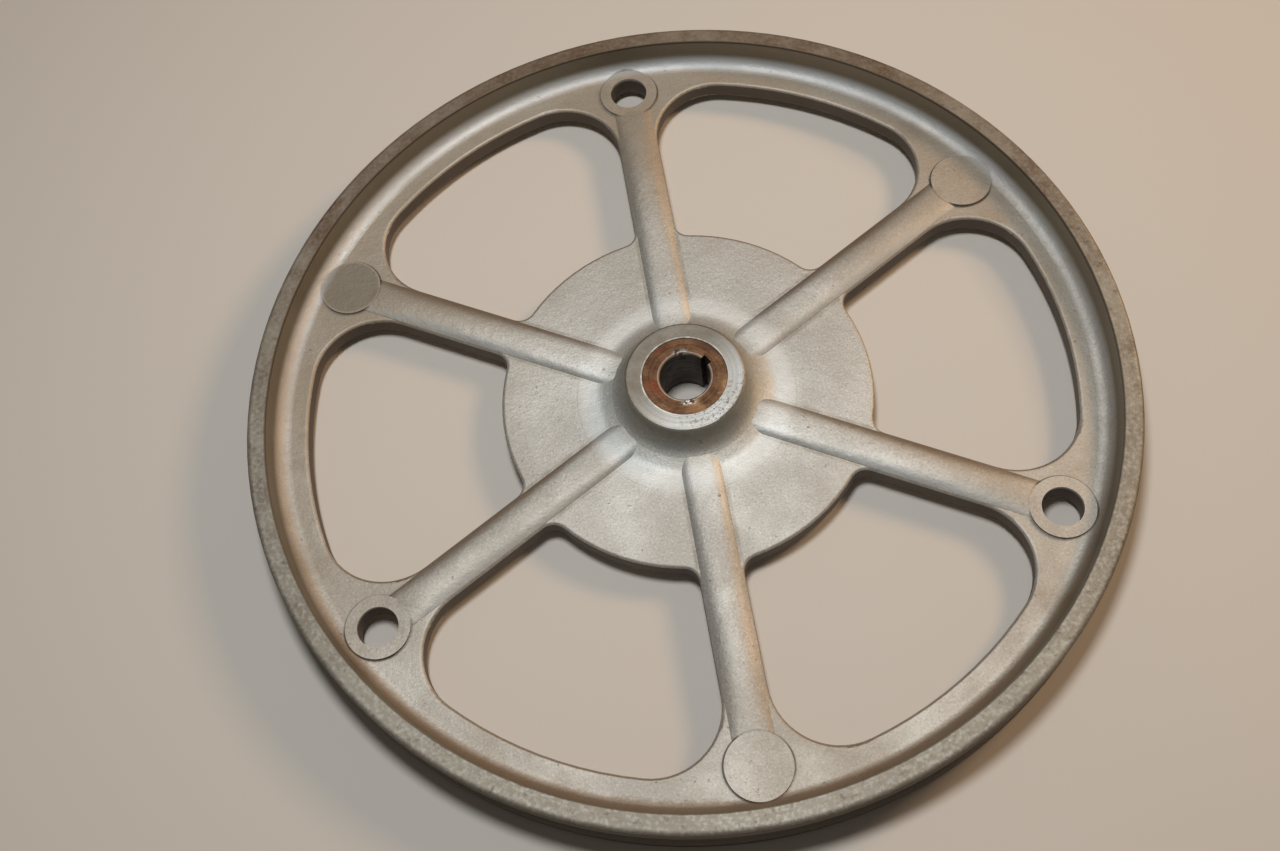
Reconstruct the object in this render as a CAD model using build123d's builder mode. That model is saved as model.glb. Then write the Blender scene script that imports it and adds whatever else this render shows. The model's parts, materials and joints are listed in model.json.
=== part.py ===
from build123d import *
import os
from math import cos, hypot, radians, sin, tan

os.makedirs("parts", exist_ok=True)

# A spoked V belt pulley: one aluminium casting with a steel bush cast into its hub.
# Millimetres. +Z runs along the bore towards the front of the hub, and z = 0 is the middle of the
# belt groove.

INCH = 25.4

# Rim and belt groove
outer_diameter = 11 * INCH
rim_width = 0.75 * INCH
lip_thickness = 6.0
lip_draft = 8.5
rim_corner_radius = 1.5
lip_inner_corner_radius = 0.5
groove_width = 9.5
groove_depth = 5.0
groove_angle = 38.0
groove_mouth_radius = 0.5
groove_root_radius = 0.8

# Web, which stands behind the front lip and in front of the back lip
web_front = 0.0
web_thickness = 0.25 * INCH
front_recess_radius = 5.0
back_recess_radius = 2.0

# Hub
hub_diameter = 1.5 * INCH
hub_height = 1.6
hub_edge_radius = 0.8
hub_root_radius = 7.0
skirt_diameter = 56.0
skirt_height = 3.0
skirt_root_radius = 8.0
back_hub_diameter = 44.0
back_hub_root_radius = 1.5

# Windows, spokes and bosses
spoke_count = 6
first_spoke_angle = 30.0
spoke_width = 13.8
disc_radius = 59.5
window_outer_radius = 122.5
window_outer_corner = 20.5
window_inner_corner = 5.0
window_edge_radius = 1.2
rib_width = 12.6
rib_shoulder_share = 0.66
rib_seat = 1.5
boss_circle_diameter = 9.5 * INCH
boss_diameter = 20.0
boss_height = 0.9
bolt_hole_diameter = 0.5 * INCH
bolt_hole_angles = (90.0, 210.0, 330.0)

# Sections of a rib, as (radius from the bore axis, height of its crown, height of its shoulders)
rib_sections = [
    (21.0, 1.5, 1.35),
    (60.0, 1.85, 1.35),
    (97.0, 1.85, 1.2),
    (113.5, 0.8, 0.7),
]

# Cast-in bush
bush_diameter = 27.0
bush_front_recess = 0.3
bore_diameter = 0.625 * INCH
bore_chamfer = 0.5
anchor_groove_width = 5.0
anchor_groove_depth = 1.0
key_width = 0.125 * INCH
key_depth = 1.6
key_angle = 30.0

# Margins for cutting past a face and for picking edges by where they are
overcut = 1.0
pick_margin = 1.0
level_margin = 0.01

# Worked-out sizes
outer_radius = outer_diameter / 2
half_width = rim_width / 2
web_back = web_front - web_thickness
lip_inner_radius = outer_radius - lip_thickness
groove_root = outer_radius - groove_depth
groove_root_half_width = groove_width / 2 - groove_depth * tan(radians(groove_angle / 2))
recess_floor_radius = lip_inner_radius - (half_width - web_front) * tan(radians(lip_draft))
back_floor_radius = lip_inner_radius - (half_width + web_back) * tan(radians(lip_draft))
hub_radius = hub_diameter / 2
hub_front = half_width + hub_height
bush_radius = bush_diameter / 2
bush_front = hub_front - bush_front_recess
bush_length = bush_front + half_width
boss_circle_radius = boss_circle_diameter / 2
anchor_radius = bush_radius - anchor_groove_depth


def spoke_angles():
    """Angles of the spokes about the bore, in degrees."""
    return [first_spoke_angle + 360 / spoke_count * k for k in range(spoke_count)]


def middle_radius(edge):
    """Distance of the middle of an edge from the bore axis."""
    middle = edge @ 0.5
    return hypot(middle.X, middle.Y)


def spoke_plane(angle, radius):
    """Plane across a spoke at a radius: its x runs across the spoke and its y along +Z."""
    a = radians(angle)
    return Plane(
        origin=(radius * cos(a), radius * sin(a), web_front),
        x_dir=(-sin(a), cos(a), 0),
        z_dir=(cos(a), sin(a), 0),
    )


def turning_plane(angle):
    """Upright plane through the bore: its x is the radius and its y lies along +Z."""
    a = radians(angle)
    return Plane(origin=(0, 0, 0), x_dir=(cos(a), sin(a), 0), z_dir=(sin(a), -cos(a), 0))


# Section of the casting, as (radius, height) corners with the rounding of each
section_corners = [
    (bush_radius, -half_width, 0),
    (bush_radius, -anchor_groove_width / 2, 0),
    (anchor_radius, -anchor_groove_width / 2, 0),
    (anchor_radius, anchor_groove_width / 2, 0),
    (bush_radius, anchor_groove_width / 2, 0),
    (bush_radius, hub_front, 0),
    (hub_radius, hub_front, hub_edge_radius),
    (hub_radius, web_front + skirt_height, hub_root_radius),
    (skirt_diameter / 2, web_front, skirt_root_radius),
    (recess_floor_radius, web_front, front_recess_radius),
    (lip_inner_radius, half_width, lip_inner_corner_radius),
    (outer_radius, half_width, rim_corner_radius),
    (outer_radius, groove_width / 2, groove_mouth_radius),
    (groove_root, groove_root_half_width, groove_root_radius),
    (groove_root, -groove_root_half_width, groove_root_radius),
    (outer_radius, -groove_width / 2, groove_mouth_radius),
    (outer_radius, -half_width, rim_corner_radius),
    (lip_inner_radius, -half_width, lip_inner_corner_radius),
    (back_floor_radius, web_back, back_recess_radius),
    (back_hub_diameter / 2, web_back, back_hub_root_radius),
    (hub_radius, -half_width, hub_edge_radius),
]

with BuildPart() as casting:
    # Hub, web and rim turned in one section
    with BuildSketch(turning_plane(first_spoke_angle)) as section:
        with BuildLine():
            Polyline([(r, z) for r, z, _ in section_corners], close=True)
        make_face()
        for r, z, rounding in section_corners:
            if rounding:
                fillet(section.vertices().sort_by_distance((r, z))[0], rounding)
    revolve(axis=Axis.Z)

    # Six windows between the disc and the rim, which leave the spokes
    with BuildSketch(Plane.XY.offset(web_front + overcut)) as windows:
        Circle(window_outer_radius)
        Circle(disc_radius, mode=Mode.SUBTRACT)
        for angle in spoke_angles()[: spoke_count // 2]:
            Rectangle(2 * outer_radius, spoke_width, rotation=angle, mode=Mode.SUBTRACT)
        disc_corners = windows.vertices().filter_by(lambda v: v.center().length < disc_radius + pick_margin)
        fillet(disc_corners, window_inner_corner)
        rim_corners = windows.vertices().filter_by(
            lambda v: v.center().length > window_outer_radius - pick_margin
        )
        fillet(rim_corners, window_outer_corner)
    extrude(amount=-(web_thickness + 2 * overcut), mode=Mode.SUBTRACT)

    # Soft cast edges around the windows, front and back
    for level in (web_front, web_back):
        level_edges = casting.edges().filter_by_position(Axis.Z, level - level_margin, level + level_margin)
        window_edges = level_edges.filter_by(
            lambda e: disc_radius - pick_margin < middle_radius(e) < window_outer_radius + pick_margin
        )
        fillet(window_edges, window_edge_radius)

    # Bosses at the rim ends of the spokes
    with BuildSketch(Plane.XY.offset(web_back)):
        with PolarLocations(boss_circle_radius, spoke_count, start_angle=first_spoke_angle):
            Circle(boss_diameter / 2)
    extrude(amount=web_thickness + boss_height)

    # A low rounded rib along each spoke, which is level with the bosses at the rim
    for angle in spoke_angles():
        side = rib_width / 2
        for radius, crown, shoulder in rib_sections:
            with BuildSketch(spoke_plane(angle, radius)):
                with BuildLine():
                    Spline(
                        (-side, 0),
                        (-rib_shoulder_share * side, shoulder),
                        (0, crown),
                        (rib_shoulder_share * side, shoulder),
                        (side, 0),
                    )
                    Polyline((side, 0), (side, -rib_seat), (-side, -rib_seat), (-side, 0))
                make_face()
        loft()

    # Bolt holes through every second boss
    with BuildSketch(Plane.XY.offset(web_back - overcut)):
        for angle in bolt_hole_angles:
            a = radians(angle)
            with Locations((boss_circle_radius * cos(a), boss_circle_radius * sin(a))):
                Circle(bolt_hole_diameter / 2)
    extrude(amount=web_thickness + boss_height + 2 * overcut, mode=Mode.SUBTRACT)

casting.part.label = "pulley_casting"
export_step(casting.part, "parts/pulley_casting.step")

with BuildPart() as bush:
    # Turned bush with a groove that the casting grips
    with BuildSketch(Plane.XZ):
        with BuildLine():
            Polyline(
                (bore_diameter / 2, -half_width + bore_chamfer),
                (bore_diameter / 2 + bore_chamfer, -half_width),
                (bush_radius, -half_width),
                (bush_radius, -anchor_groove_width / 2),
                (anchor_radius, -anchor_groove_width / 2),
                (anchor_radius, anchor_groove_width / 2),
                (bush_radius, anchor_groove_width / 2),
                (bush_radius, bush_front),
                (bore_diameter / 2 + bore_chamfer, bush_front),
                (bore_diameter / 2, bush_front - bore_chamfer),
                close=True,
            )
        make_face()
    revolve(axis=Axis.Z)

    # Keyway along the whole bore
    with BuildSketch(Plane.XY.offset(-half_width)):
        with Locations(Location((0, 0, 0), (0, 0, key_angle))):
            with Locations((bore_diameter / 4 + key_depth / 2, 0)):
                Rectangle(bore_diameter / 2 + key_depth, key_width)
    extrude(amount=bush_length, mode=Mode.SUBTRACT)

bush.part.label = "hub_bush"
export_step(bush.part, "parts/hub_bush.step")
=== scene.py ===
import json
from math import cos, radians, sin

import bpy
from mathutils import Euler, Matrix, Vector


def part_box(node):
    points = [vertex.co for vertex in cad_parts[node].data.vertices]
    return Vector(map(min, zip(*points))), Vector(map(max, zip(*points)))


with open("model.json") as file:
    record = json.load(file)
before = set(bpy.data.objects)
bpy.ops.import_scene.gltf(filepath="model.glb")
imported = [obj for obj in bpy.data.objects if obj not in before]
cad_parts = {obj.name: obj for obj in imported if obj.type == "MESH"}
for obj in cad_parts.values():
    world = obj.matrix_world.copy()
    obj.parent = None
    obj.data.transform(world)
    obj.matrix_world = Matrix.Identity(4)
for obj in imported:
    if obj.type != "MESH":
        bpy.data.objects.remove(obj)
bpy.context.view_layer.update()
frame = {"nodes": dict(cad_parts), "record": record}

# A cast aluminium V belt pulley with a rusty steel bush in its hub, lying on a pale floor.
# Metres throughout. +Z is the bore axis and points out of the hub's front face.
MM = 0.001
CASTING = frame["nodes"]["pulley_casting"]
BUSH = frame["nodes"]["hub_bush"]
MOUNT_DIMS = {mount["name"]: mount["dims"] for mount in frame["record"]["mounts"]}
BORE_RADIUS = MOUNT_DIMS["bore"]["r_mm"] * MM
BOSS_CIRCLE = MOUNT_DIMS["rim_bolt_holes"]["pcd_mm"] * MM / 2
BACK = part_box("pulley_casting")[0].z
OUTER_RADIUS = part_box("pulley_casting")[1].x
HUB_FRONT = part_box("pulley_casting")[1].z
BUSH_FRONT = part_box("hub_bush")[1].z
BUSH_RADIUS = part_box("hub_bush")[1].x

# Places on the casting, in line with the CAD model
LIP_FRONT = -BACK
LIP_INNER = OUTER_RADIUS - 6.0 * MM
RECESS_FLOOR = OUTER_RADIUS - 9.0 * MM
GROOVE_HALF = 4.75 * MM
HUB_RADIUS = 19.05 * MM
SKIRT_RADIUS = 28.0 * MM
DISC_RADIUS = 59.5 * MM
BOSS_RADIUS = 10.0 * MM
RIB_HALF = 6.3 * MM
RIB_TOE = 24.0 * MM
FAINT_CIRCLE = 35.0 * MM
FIRST_SPOKE = radians(30)
HALF_PITCH = radians(30)
FLOOR_Z = BACK
FLOOR_HALF_SIZE = 6.0

# Camera: where it stands, how it is turned about X, Y and Z in degrees, and its lens in millimetres
CAMERA_PLACE = (-0.01598, -0.20231, 0.40222)
CAMERA_TURN = (25.327, 4.361, -8.987)
CAMERA_LENS = 39.65
CAMERA_SENSOR = 36.0
CAMERA_CLIP_START = 0.01

# Surface relief of both metals
BUMP_STRENGTH = 0.9
BUMP_DISTANCE = 0.14 * MM

# How corners and edges are found: rays for each, and the cosine of a rounded normal's lean
OCCLUSION_SAMPLES = 8
BEVEL_SAMPLES = 6
LEAN_AT_EDGE = 0.86
LEAN_ON_FLAT = 0.995

# Colours of the casting, in linear light
SKIN_DARK = (0.52, 0.505, 0.47)
SKIN_LIGHT = (0.625, 0.615, 0.58)
GRAIN_LIGHT = (0.90, 0.89, 0.86)
GRAIN_DARK = (0.30, 0.275, 0.235)
PIT = (0.16, 0.12, 0.085)
DRIFT = (0.22, 0.165, 0.11)
FILM = (0.41, 0.31, 0.20)
FAR_SLOPE_SHADE = (0.26, 0.165, 0.09)
NEAR_SLOPE_HIGHLIGHT = (0.74, 0.75, 0.73)
SOILED_BOSS = (0.27, 0.235, 0.18)
CORNER_SHADE_AND_DIRT = (0.20, 0.155, 0.105)
RIB_ROOT_SHADE_AND_DIRT = (0.24, 0.20, 0.15)
BOSS_FOOT_SHADE_AND_DIRT = (0.11, 0.085, 0.06)
FAINT_LINE = (0.25, 0.22, 0.18)
SKIRT_SHADE = (0.29, 0.275, 0.22)
FLARE_HIGHLIGHT = (0.80, 0.81, 0.79)
WINDOW_WALL_SHADE = (0.070, 0.045, 0.029)
RECESS_CORNER_HIGHLIGHT = (0.62, 0.65, 0.69)
RECESS_WALL_SHADE = (0.24, 0.205, 0.15)
LIP_LIGHT = (0.40, 0.375, 0.315)
LIP_DARK = (0.13, 0.085, 0.05)
LIP_RING = (0.62, 0.58, 0.50)
LIP_SPOT = (0.12, 0.09, 0.06)
LIP_FLECK = (0.60, 0.59, 0.54)
LIP_BROWN = (0.22, 0.13, 0.07)
LIP_EDGE = (0.075, 0.052, 0.035)
OUTSIDE_SHADE_AND_BELT_DUST = (0.085, 0.056, 0.036)
GROOVE_FLANK = (0.34, 0.31, 0.265)
GROOVE_RUBBER = (0.060, 0.052, 0.045)
GROOVE_RING = (0.20, 0.18, 0.155)
FACE_DARK = (0.45, 0.45, 0.43)
FACE_LIGHT = (0.64, 0.65, 0.645)
FACE_DARKER_SIDE = (0.165, 0.13, 0.09)
FACE_SPECK = (0.13, 0.10, 0.07)
FACE_OUTER_EDGE = (0.22, 0.165, 0.105)
FACE_INNER_EDGE_HIGHLIGHT = (0.88, 0.86, 0.81)
FACE_SMEAR = (0.40, 0.37, 0.31)
EDGE_WEAR_AND_HIGHLIGHT = (0.74, 0.72, 0.67)

# Floor and surrounding light, in linear light
FLOOR_COLOUR = (0.72, 0.665, 0.60)
FLOOR_ROUGHNESS = 0.8
WORLD_COLOUR = (1.0, 0.92, 0.82)
WORLD_STRENGTH = 0.085
KEY_COLOUR = (0.95, 0.985, 1.0)
WARM_COLOUR = (1.0, 0.66, 0.38)

# Colours of the bush
RUST_DARK = (0.085, 0.034, 0.014)
RUST_LIGHT = (0.19, 0.088, 0.038)
RUST_RING = (0.25, 0.15, 0.08)
RUST_RED = (0.21, 0.045, 0.012)
RUST_OCHRE = (0.46, 0.27, 0.12)
RUST_SPECK = (0.06, 0.035, 0.02)
MOUTH_RING = (0.58, 0.52, 0.45)
STAKED_DARK = (0.05, 0.035, 0.025)
STAKED_BRIGHT = (0.42, 0.40, 0.36)
BUSH_OUTLINE = (0.055, 0.035, 0.025)
BORE_SHADE = (0.045, 0.032, 0.024)
BORE_SHADE_MARKS = (0.115, 0.090, 0.070)


# ---------------------------------------------------------------- node helpers

class Nodes:
    """Builds one material's node tree with short calls, and lays colours over each other."""

    def __init__(self, name):
        self.material = bpy.data.materials.new(name)
        self.material.use_nodes = True
        self.tree = self.material.node_tree
        self.tree.nodes.clear()
        self.output = self.tree.nodes.new("ShaderNodeOutputMaterial")
        self.shader = self.tree.nodes.new("ShaderNodeBsdfPrincipled")
        self.tree.links.new(self.shader.outputs["BSDF"], self.output.inputs["Surface"])
        coordinates = self.tree.nodes.new("ShaderNodeTexCoord")
        self.position = coordinates.outputs["Object"]
        self.x, self.y, self.z = self.split(self.position)
        _, self.facing_y, self.facing_up = self.split(coordinates.outputs["Normal"])
        self.r = self.length(self.x, self.y)
        self.angle = self.math("ARCTAN2", self.y, self.x)
        self.colour = None

    def put(self, value, socket):
        if isinstance(value, bpy.types.NodeSocket):
            self.tree.links.new(value, socket)
        else:
            socket.default_value = value

    def split(self, vector):
        node = self.tree.nodes.new("ShaderNodeSeparateXYZ")
        self.put(vector, node.inputs[0])
        return node.outputs

    def combine(self, x, y, z):
        node = self.tree.nodes.new("ShaderNodeCombineXYZ")
        for value, socket in zip((x, y, z), node.inputs):
            self.put(value, socket)
        return node.outputs[0]

    def math(self, operation, a, b=0.0):
        node = self.tree.nodes.new("ShaderNodeMath")
        node.operation = operation
        for value, socket in zip((a, b), node.inputs):
            self.put(value, socket)
        return node.outputs[0]

    def product(self, *factors):
        result = factors[0]
        for factor in factors[1:]:
            result = self.math("MULTIPLY", result, factor)
        return result

    def total(self, *terms):
        result = terms[0]
        for term in terms[1:]:
            result = self.math("ADD", result, term)
        return result

    def either(self, *masks):
        result = masks[0]
        for mask in masks[1:]:
            result = self.math("MAXIMUM", result, mask)
        return result

    def without(self, mask):
        return self.math("SUBTRACT", 1.0, mask)

    def length(self, u, v):
        return self.math("SQRT", self.total(self.product(u, u), self.product(v, v)))

    def towards(self, degrees, narrow, wide):
        """1 on the side of the bore axis that lies in a direction, 0 beyond wide degrees from it."""
        lean = self.total(
            self.product(self.x, cos(radians(degrees))),
            self.product(self.y, sin(radians(degrees))),
        )
        cosine = self.math("DIVIDE", lean, self.r)
        return self.ramp(cosine, cos(radians(wide)), cos(radians(narrow)))

    def ramp(self, value, low, high, to_low=0.0, to_high=1.0):
        """Smooth step of value: to_low at low and to_high at high. It falls where low is above high."""
        node = self.tree.nodes.new("ShaderNodeMapRange")
        node.interpolation_type = "SMOOTHSTEP"
        for socket, number in zip(node.inputs[1:5], (low, high, to_low, to_high)):
            socket.default_value = number
        self.put(value, node.inputs[0])
        return node.outputs[0]

    def band(self, value, centre, half, soft):
        """1 near centre, falling to 0 beyond half + soft."""
        off = self.math("ABSOLUTE", self.math("SUBTRACT", value, centre))
        return self.ramp(off, half, half + soft, 1.0, 0.0)

    def upright(self, steep, level):
        """1 on walls along the bore axis, 0 on faces across it."""
        return self.ramp(self.math("ABSOLUTE", self.facing_up), level, steep)

    def noise(self, scale, detail=4.0, roughness=0.55, vector=None):
        """Cloudy noise between 0 and 1, with scale in cells per metre where no vector is given."""
        node = self.tree.nodes.new("ShaderNodeTexNoise")
        node.inputs["Scale"].default_value = scale
        node.inputs["Detail"].default_value = detail
        node.inputs["Roughness"].default_value = roughness
        self.put(vector or self.position, node.inputs["Vector"])
        return node.outputs["Fac"]

    def rings(self, per_metre):
        """Fine circular tool marks about the bore axis."""
        rays = self.combine(self.product(self.r, per_metre), 0.0, self.product(self.z, per_metre))
        return self.noise(1.0, 3.0, 0.6, rays)

    def mix(self, factor, a, b):
        node = self.tree.nodes.new("ShaderNodeMix")
        node.data_type = "RGBA"
        self.put(factor, node.inputs[0])
        for colour, socket in ((a, node.inputs[6]), (b, node.inputs[7])):
            self.put((*colour, 1.0) if isinstance(colour, tuple) else colour, socket)
        return node.outputs[2]

    def paint(self, colour, *factors):
        """Lay a colour over what is there, by the product of the factors."""
        self.colour = self.mix(self.product(*factors), self.colour, colour)

    def occlusion(self, distance):
        node = self.tree.nodes.new("ShaderNodeAmbientOcclusion")
        node.samples = OCCLUSION_SAMPLES
        node.inputs["Distance"].default_value = distance
        return node.outputs["AO"]

    def edges(self, radius):
        """1 on a convex or concave edge, from how far a rounded normal leans from the true one."""
        bevel = self.tree.nodes.new("ShaderNodeBevel")
        bevel.samples = BEVEL_SAMPLES
        bevel.inputs["Radius"].default_value = radius
        geometry = self.tree.nodes.new("ShaderNodeNewGeometry")
        dot = self.tree.nodes.new("ShaderNodeVectorMath")
        dot.operation = "DOT_PRODUCT"
        self.put(bevel.outputs[0], dot.inputs[0])
        self.put(geometry.outputs["Normal"], dot.inputs[1])
        return self.ramp(dot.outputs["Value"], LEAN_AT_EDGE, LEAN_ON_FLAT, 1.0, 0.0)

    def finish(self, metallic, roughness, height):
        """Join the colour, the gloss and a bump of the height to the shader."""
        bump = self.tree.nodes.new("ShaderNodeBump")
        bump.inputs["Strength"].default_value = BUMP_STRENGTH
        bump.inputs["Distance"].default_value = BUMP_DISTANCE
        self.put(height, bump.inputs["Height"])
        self.put(self.colour, self.shader.inputs["Base Color"])
        self.put(metallic, self.shader.inputs["Metallic"])
        self.put(roughness, self.shader.inputs["Roughness"])
        self.put(bump.outputs[0], self.shader.inputs["Normal"])
        return self.material


# ---------------------------------------------------------------- cast aluminium

class CastingNodes(Nodes):
    """The casting's nodes, with the places on it that its layers share."""

    def __init__(self, name):
        super().__init__(name)
        # The six spokes folded onto one: the distance along its middle line and across from it
        fold = self.math("PINGPONG", self.math("SUBTRACT", self.angle, FIRST_SPOKE), HALF_PITCH)
        self.along = self.product(self.r, self.math("COSINE", fold))
        self.across = self.product(self.r, self.math("SINE", fold))
        # The distance from the middle of the nearest boss
        self.boss = self.length(self.math("SUBTRACT", self.along, BOSS_CIRCLE), self.across)
        # Masks by height: the web's face and all in front of it, the web's face alone, and all that is low
        self.front = self.ramp(self.z, -0.6 * MM, -0.1 * MM)
        self.at_web = self.band(self.z, 0.1 * MM, 0.35 * MM, 0.25 * MM)
        self.low = self.ramp(self.z, 4.2 * MM, 2.4 * MM)


def cast_skin(n):
    """Grey skin with cloudy patches, a fine light and dark grain, and scattered pits."""
    clouds = n.ramp(n.noise(24, 5, 0.6), 0.32, 0.70)
    grain = n.noise(1350, 2, 0.7)
    pits = n.product(n.ramp(n.noise(520, 3, 0.7), 0.36, 0.28), n.ramp(n.noise(45, 3, 0.6), 0.40, 0.62))
    n.colour = n.mix(clouds, SKIN_DARK, SKIN_LIGHT)
    n.paint(GRAIN_LIGHT, n.ramp(grain, 0.52, 0.72), 0.42)
    n.paint(GRAIN_DARK, n.ramp(grain, 0.48, 0.30), 0.38)
    n.paint(PIT, pits, 0.75)
    return clouds, grain, pits


def soiling_and_slope_shade(n):
    """Brown drifts near the rim, a brown film that is thicker on the far side, and painted shade and
    highlight on slopes by the way they face.
    """
    n.paint(DRIFT, n.ramp(n.r, 95 * MM, 128 * MM), n.ramp(n.noise(38, 6, 0.65), 0.48, 0.74), n.front, 0.50)

    outwards = n.ramp(n.r, 20 * MM, 120 * MM)
    far_side = n.ramp(n.y, -110 * MM, 80 * MM, 0.42, 1.0)
    n.paint(FILM, outwards, far_side, n.ramp(n.noise(17, 4, 0.6), 0.25, 0.7, 0.5, 1.0), 0.74)

    # Painted shade in a brown tint on slopes that face the far side, and a painted highlight on slopes that
    # face the near side
    facing_far = n.ramp(n.facing_y, 0.10, 0.55)
    # Painted shade on slopes facing the far side
    n.paint(FAR_SLOPE_SHADE, facing_far, n.ramp(n.r, RIB_TOE, DISC_RADIUS, 0.5, 1.0), n.front, 0.75)
    facing_near = n.ramp(n.facing_y, -0.10, -0.50)
    above_web = n.ramp(n.z, 0.05 * MM, 0.30 * MM)
    # Painted highlight on slopes facing the near side
    n.paint(NEAR_SLOPE_HIGHLIGHT, facing_near, n.ramp(n.r, SKIRT_RADIUS, DISC_RADIUS), above_web, n.low, 0.60)

    # One blank boss is more soiled than the others
    n.paint(SOILED_BOSS, n.ramp(n.boss, BOSS_RADIUS, BOSS_RADIUS - MM), n.towards(150, 12, 25), n.front, 0.70)


def corner_shade_and_dirt(n):
    """Painted shade and dirt in the corners, and beside the ribs on the disc."""
    # Painted shade and dirt: darker where occlusion finds a corner within 4 mm
    shelter = n.ramp(n.occlusion(4 * MM), 0.40, 0.97, 1.0, 0.0)
    short_of_corner = n.ramp(n.r, RECESS_FLOOR - 7 * MM, RECESS_FLOOR - 5 * MM, 1.0, 0.0)
    shade_and_dirt = n.product(shelter, short_of_corner, n.ramp(n.noise(110, 4, 0.6), 0.25, 0.75, 0.45, 1.0))
    n.paint(CORNER_SHADE_AND_DIRT, shade_and_dirt, 0.50)

    # Painted shade and dirt along the foot of each rib
    beside_rib = n.product(n.band(n.across, RIB_HALF + 0.5 * MM, 0.1 * MM, 0.9 * MM), n.at_web)
    on_disc = n.product(n.ramp(n.r, RIB_TOE, SKIRT_RADIUS), n.ramp(n.r, DISC_RADIUS + MM, DISC_RADIUS))
    n.paint(RIB_ROOT_SHADE_AND_DIRT, beside_rib, on_disc, n.ramp(n.noise(150, 3), 0.3, 0.7, 0.15, 0.5))
    return shelter, shade_and_dirt


def outlines(n):
    """A thin dark line of painted shade and dirt round each boss, and a faint circle on the disc."""
    off_rib = n.either(
        n.ramp(n.across, 3.5 * MM, 5.5 * MM),
        n.ramp(n.along, BOSS_CIRCLE - 2 * MM, BOSS_CIRCLE),
    )
    # Painted shade and dirt at the foot of each boss
    round_boss = n.band(n.boss, BOSS_RADIUS + 0.25 * MM, 0.15 * MM, 0.30 * MM)
    broken = n.ramp(n.noise(48, 2), 0.38, 0.58, 0.25, 1.0)
    n.paint(BOSS_FOOT_SHADE_AND_DIRT, round_boss, n.ramp(off_rib, 0, 1, 0.35, 1.0), broken, n.front, 0.80)

    circle = n.band(n.r, FAINT_CIRCLE, 0.05 * MM, 0.16 * MM)
    n.paint(FAINT_LINE, circle, n.at_web, n.ramp(n.noise(60, 2), 0.35, 0.6, 0.3, 1.0), 0.45)


def hub_flare(n):
    """Painted shade on the skirt by the hub, a little darker and greener, and a painted highlight where it
    meets the disc.
    """
    # Painted shade on the skirt by the hub
    n.paint(SKIRT_SHADE, n.ramp(n.r, SKIRT_RADIUS, HUB_RADIUS + MM), n.front, 0.45)
    # Painted highlight where the flare meets the disc
    n.paint(FLARE_HIGHLIGHT, n.band(n.r, SKIRT_RADIUS + 2.5 * MM, MM, 6 * MM), n.front, 0.60)


def window_walls(n):
    """Painted shade on the walls in the windows and holes, dull brown."""
    at_holes = n.product(
        n.ramp(n.r, RECESS_FLOOR + 0.3 * MM, RECESS_FLOOR - 1.2 * MM),
        n.ramp(n.r, DISC_RADIUS - 3 * MM, DISC_RADIUS - MM),
    )
    below = n.product(n.upright(0.25, 0.55), at_holes, n.ramp(n.z, 0.2 * MM, -0.8 * MM))
    # Painted shade: the walls in the windows and holes are darkened
    n.paint(WINDOW_WALL_SHADE, below, 0.88)
    return below


def front_recess(n):
    """A painted highlight on the recess corner on the far side, and painted shade on the turned wall above
    it, olive grey.
    """
    # Painted highlight on the recess corner, on the far side
    corner = n.product(n.band(n.r, RECESS_FLOOR, 1.3 * MM, 2.2 * MM), n.low, n.front)
    n.paint(RECESS_CORNER_HIGHLIGHT, corner, n.ramp(n.y, -90 * MM, 70 * MM), 0.36)

    # Painted shade on the turned wall of the recess, olive grey
    wall = n.product(n.ramp(n.r, RECESS_FLOOR, RECESS_FLOOR + 1.6 * MM), n.ramp(n.z, 1.8 * MM, 4.2 * MM))
    n.paint(RECESS_WALL_SHADE, wall, 0.85)
    return wall


def lip_and_outside(n):
    """The turned lip, stained brown and spotted, and the outside, dark with painted shade and belt dust."""
    on_lip = n.product(
        n.ramp(n.r, LIP_INNER - 0.2 * MM, LIP_INNER + 0.2 * MM),
        n.ramp(n.z, LIP_FRONT - 0.5 * MM, LIP_FRONT - 0.2 * MM),
    )
    lip = n.either(on_lip, n.ramp(n.r, OUTER_RADIUS - 0.6 * MM, OUTER_RADIUS - 0.3 * MM))

    under = n.colour
    stain = n.product(n.ramp(n.noise(48, 6, 0.7), 0.28, 0.72), n.ramp(n.y, -130 * MM, 100 * MM, 0.45, 1.0))
    n.colour = n.mix(stain, LIP_LIGHT, LIP_DARK)
    n.paint(LIP_RING, n.ramp(n.rings(2600), 0.5, 0.7), 0.30)
    n.paint(LIP_SPOT, n.ramp(n.noise(330, 4, 0.7), 0.56, 0.68), 0.55)
    n.paint(LIP_FLECK, n.ramp(n.noise(760, 3, 0.6), 0.42, 0.74), n.ramp(n.y, -120 * MM, 60 * MM, 0.60, 0.30))
    n.paint(LIP_BROWN, n.ramp(n.y, -20 * MM, 130 * MM, 0.0, 0.45))
    n.colour = n.mix(lip, under, n.colour)

    inner_edge = n.product(
        n.band(n.r, LIP_INNER, 0.20 * MM, 0.30 * MM),
        n.ramp(n.z, LIP_FRONT - 1.0 * MM, LIP_FRONT - 0.6 * MM),
    )
    n.paint(LIP_EDGE, inner_edge, n.ramp(n.y, -130 * MM, 50 * MM, 0.35, 1.0), 0.75)

    # Painted shade and belt dust on the outside, below the lip's corner
    below_corner = n.ramp(n.z, LIP_FRONT - 0.3 * MM, LIP_FRONT - 1.1 * MM)
    n.paint(OUTSIDE_SHADE_AND_BELT_DUST, n.ramp(n.r, OUTER_RADIUS - 1.1 * MM, OUTER_RADIUS - 0.4 * MM), below_corner, 0.85)
    return lip


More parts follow.
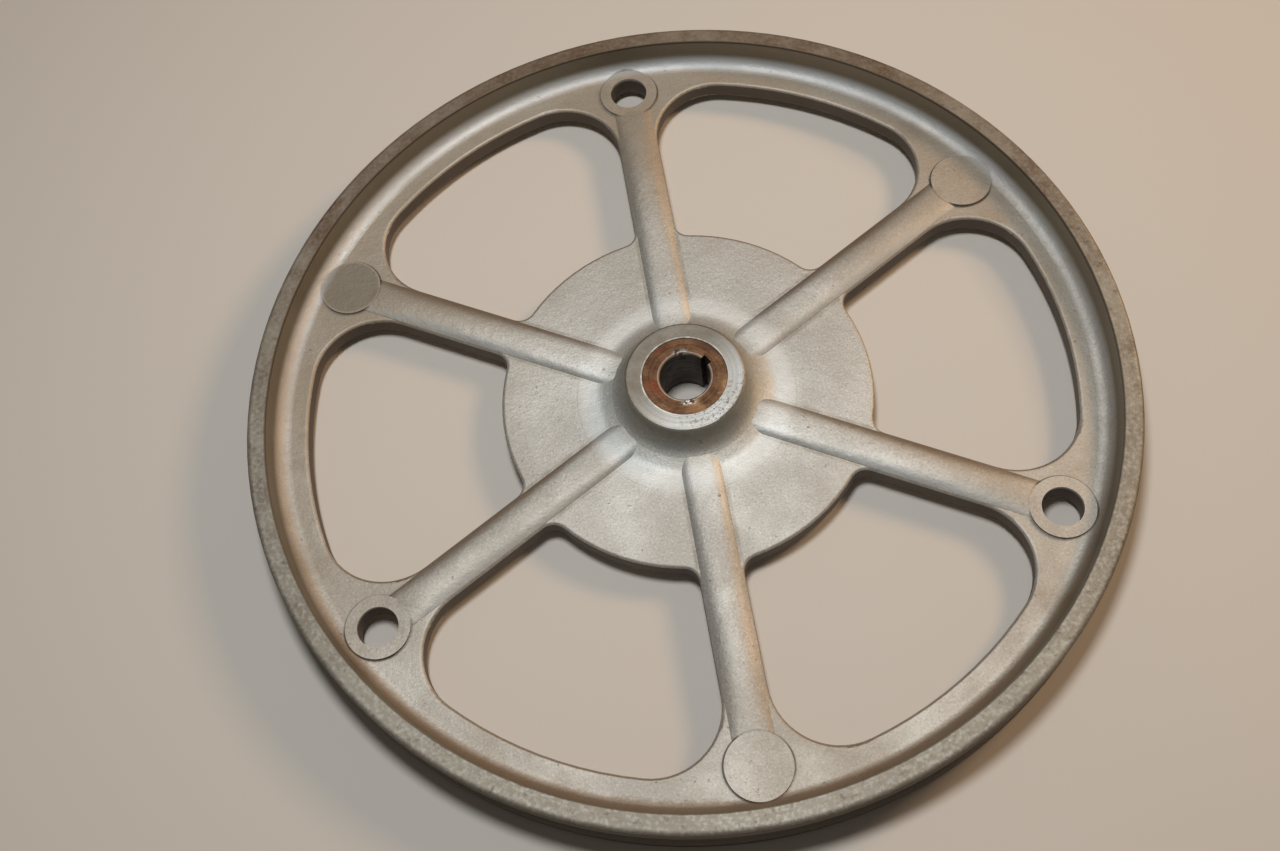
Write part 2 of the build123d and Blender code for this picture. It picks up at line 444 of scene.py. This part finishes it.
def belt_groove(n):
    """Flanks rubbed smooth by the belt, with dark rubber at the root."""
    groove = n.product(
        n.ramp(n.math("ABSOLUTE", n.z), GROOVE_HALF + 0.2 * MM, GROOVE_HALF - 0.2 * MM),
        n.ramp(n.r, LIP_INNER, LIP_INNER + 0.5 * MM),
    )
    under = n.colour
    rubber = n.ramp(n.r, OUTER_RADIUS - 2.0 * MM, OUTER_RADIUS - 4.6 * MM)
    n.colour = n.mix(rubber, GROOVE_FLANK, GROOVE_RUBBER)
    n.paint(GROOVE_RING, n.ramp(n.rings(1500), 0.45, 0.65), 0.4)
    n.colour = n.mix(groove, under, n.colour)
    return groove


def hub_face(n):
    """The turned face, darker and browner on one side, speckled on the other, with a painted highlight arc at
    the bush.
    """
    face = n.product(
        n.ramp(n.z, HUB_FRONT - 0.45 * MM, HUB_FRONT - 0.15 * MM),
        n.ramp(n.r, HUB_RADIUS + MM, HUB_RADIUS),
    )
    under = n.colour
    n.colour = n.mix(n.ramp(n.rings(3200), 0.35, 0.70), FACE_DARK, FACE_LIGHT)
    # Darker and browner towards 122 degrees
    n.paint(FACE_DARKER_SIDE, n.towards(122, 60, 138), 0.84)
    n.paint(FACE_SPECK, n.ramp(n.noise(900, 3, 0.75), 0.53, 0.60), n.towards(-60, 15, 60), 0.85)

    outer_edge = n.band(n.r, HUB_RADIUS - 0.3 * MM, 0.2 * MM, 0.6 * MM)
    n.paint(FACE_OUTER_EDGE, outer_edge, n.ramp(n.noise(120, 3), 0.3, 0.65, 0.35, 1.0), 0.70)
    # Painted highlight: a bright arc on the face's inner edge by the bush, on one side
    inner_edge = n.product(
        n.band(n.r, BUSH_RADIUS + 0.2 * MM, 0.1 * MM, 0.25 * MM),
        n.ramp(n.noise(300, 3), 0.35, 0.6, 0.2, 1.0),
    )
    n.paint(FACE_INNER_EDGE_HIGHLIGHT, inner_edge, n.towards(135, 80, 150), 0.80)
    n.paint(FACE_SMEAR, n.ramp(n.noise(130, 5, 0.7), 0.35, 0.65), 0.35)
    n.colour = n.mix(face, under, n.colour)
    return face


def edge_wear_and_highlight(n, shelter):
    """Open edges are a little lighter, from wear and a painted highlight."""
    patchy = n.ramp(n.noise(260, 4, 0.6), 0.35, 0.65, 0.25, 1.0)
    # Wear and painted highlight on open edges
    n.paint(EDGE_WEAR_AND_HIGHLIGHT, n.edges(0.5 * MM), n.without(shelter), patchy, 0.14)


def cast_aluminium():
    n = CastingNodes("cast_aluminium")
    clouds, grain, pits = cast_skin(n)
    soiling_and_slope_shade(n)
    shelter, shade_and_dirt = corner_shade_and_dirt(n)
    outlines(n)
    hub_flare(n)
    below = window_walls(n)
    recess_wall = front_recess(n)
    lip = lip_and_outside(n)
    groove = belt_groove(n)
    face = hub_face(n)
    edge_wear_and_highlight(n, shelter)

    machined = n.either(lip, face, groove, n.product(recess_wall, 0.7))
    roughness = n.total(
        n.ramp(clouds, 0.0, 1.0, 0.66, 0.58),
        n.product(machined, -0.10),
        n.product(lip, 0.08),
        n.product(shade_and_dirt, 0.15),
    )
    cast_height = n.total(n.product(grain, 0.6), n.product(n.noise(380, 3, 0.5), 0.9), n.product(pits, -0.5))
    height = n.total(
        n.product(cast_height, n.ramp(machined, 0.0, 1.0, 1.0, 0.35)),
        n.product(n.rings(2600), 0.35, machined),
    )
    metallic = n.total(n.ramp(lip, 0.0, 1.0, 0.80, 0.55), n.product(below, -0.55))
    return n.finish(metallic, roughness, height)


# ---------------------------------------------------------------- rusty steel

def rusty_steel():
    n = Nodes("rusty_turned_steel")
    rings = n.rings(2400)
    film = n.ramp(n.noise(170, 5, 0.65), 0.34, 0.66)
    n.colour = n.mix(film, RUST_DARK, RUST_LIGHT)
    n.paint(RUST_RING, n.ramp(rings, 0.42, 0.62), 0.45)
    n.paint(RUST_RED, n.ramp(n.noise(110, 3, 0.6), 0.46, 0.62), n.towards(180, 20, 120), 0.65)
    n.paint(RUST_OCHRE, n.ramp(n.noise(140, 3, 0.6), 0.42, 0.60), n.towards(-25, 20, 75), 0.70)
    n.paint(RUST_SPECK, n.ramp(n.noise(700, 3, 0.7), 0.58, 0.68), 0.5)

    # Bright ring at the bore's mouth, and two staked patches beside it
    top = n.ramp(n.z, BUSH_FRONT - 1.2 * MM, BUSH_FRONT - 0.7 * MM)
    n.paint(MOUTH_RING, n.band(n.r, BORE_RADIUS + 0.45 * MM, 0.15 * MM, 0.3 * MM), top, 0.60)
    off_y_axis = n.math("ABSOLUTE", n.math("SUBTRACT", n.math("ABSOLUTE", n.angle), radians(90)))
    patch = n.product(
        n.ramp(off_y_axis, radians(20), radians(8)),
        n.ramp(n.r, BORE_RADIUS + 2.6 * MM, BORE_RADIUS + 1.2 * MM),
        top,
    )
    chips = n.ramp(n.noise(820, 2, 0.6), 0.42, 0.52)
    staked = n.product(patch, chips)
    n.paint(STAKED_DARK, patch, n.without(chips), 0.8)
    n.paint(STAKED_BRIGHT, staked, 0.85)
    n.paint(BUSH_OUTLINE, n.ramp(n.r, BUSH_RADIUS - 0.45 * MM, BUSH_RADIUS - 0.15 * MM), top, 0.7)

    # Bore and keyway: painted shade, dark, with marks round the bore
    inside = n.product(n.upright(0.3, 0.6), n.ramp(n.r, BORE_RADIUS + 2.5 * MM, BORE_RADIUS + 1.8 * MM))
    n.paint(n.mix(n.ramp(n.rings(1500), 0.42, 0.62), BORE_SHADE, BORE_SHADE_MARKS), inside)

    roughness = n.total(n.ramp(film, 0.0, 1.0, 0.62, 0.46), n.product(staked, -0.15))
    height = n.total(
        n.product(rings, 0.8),
        n.product(n.noise(850, 3, 0.6), 0.8),
        n.product(patch, n.noise(600, 2), 2.0),
    )
    return n.finish(0.60, roughness, height)


for node, material in ((CASTING, cast_aluminium()), (BUSH, rusty_steel())):
    node.data.materials.clear()
    node.data.materials.append(material)


# ---------------------------------------------------------------- floor, light and camera

def pale_floor():
    n = Nodes("pale_floor")
    n.shader.inputs["Base Color"].default_value = (*FLOOR_COLOUR, 1.0)
    n.shader.inputs["Roughness"].default_value = FLOOR_ROUGHNESS
    return n.material


def add_floor():
    mesh = bpy.data.meshes.new("floor")
    sides = ((-1, -1), (1, -1), (1, 1), (-1, 1))
    corners = [(x * FLOOR_HALF_SIZE, y * FLOOR_HALF_SIZE, FLOOR_Z) for x, y in sides]
    mesh.from_pydata(corners, [], [(0, 1, 2, 3)])
    mesh.materials.append(pale_floor())
    floor = bpy.data.objects.new("floor", mesh)
    bpy.context.scene.collection.objects.link(floor)


def add_light(name, place, size, power, colour):
    """A round lamp that points at the middle of the pulley."""
    data = bpy.data.lights.new(name, "AREA")
    data.shape = "DISK"
    data.size = size
    data.energy = power
    data.color = colour
    light = bpy.data.objects.new(name, data)
    light.location = place
    light.rotation_euler = (-Vector(place)).to_track_quat("-Z", "Y").to_euler()
    bpy.context.scene.collection.objects.link(light)


def add_world():
    world = bpy.data.worlds.new("studio")
    world.use_nodes = True
    background = world.node_tree.nodes["Background"]
    background.inputs["Color"].default_value = (*WORLD_COLOUR, 1.0)
    background.inputs["Strength"].default_value = WORLD_STRENGTH
    bpy.context.scene.world = world


def add_camera():
    data = bpy.data.cameras.new("camera")
    data.sensor_width = CAMERA_SENSOR
    data.lens = CAMERA_LENS
    data.clip_start = CAMERA_CLIP_START
    data.dof.use_dof = False
    camera = bpy.data.objects.new("camera", data)
    camera.location = CAMERA_PLACE
    camera.rotation_euler = Euler([radians(turn) for turn in CAMERA_TURN])
    bpy.context.scene.collection.objects.link(camera)
    bpy.context.scene.camera = camera


add_floor()
add_light("key", place=(-0.03, 0.05, 0.64), size=0.14, power=2.12, colour=KEY_COLOUR)
add_light("warm_lamp", place=(0.85, 0.33, 0.66), size=0.30, power=4.2, colour=WARM_COLOUR)
add_world()
bpy.context.scene.view_settings.view_transform = "Standard"
add_camera()
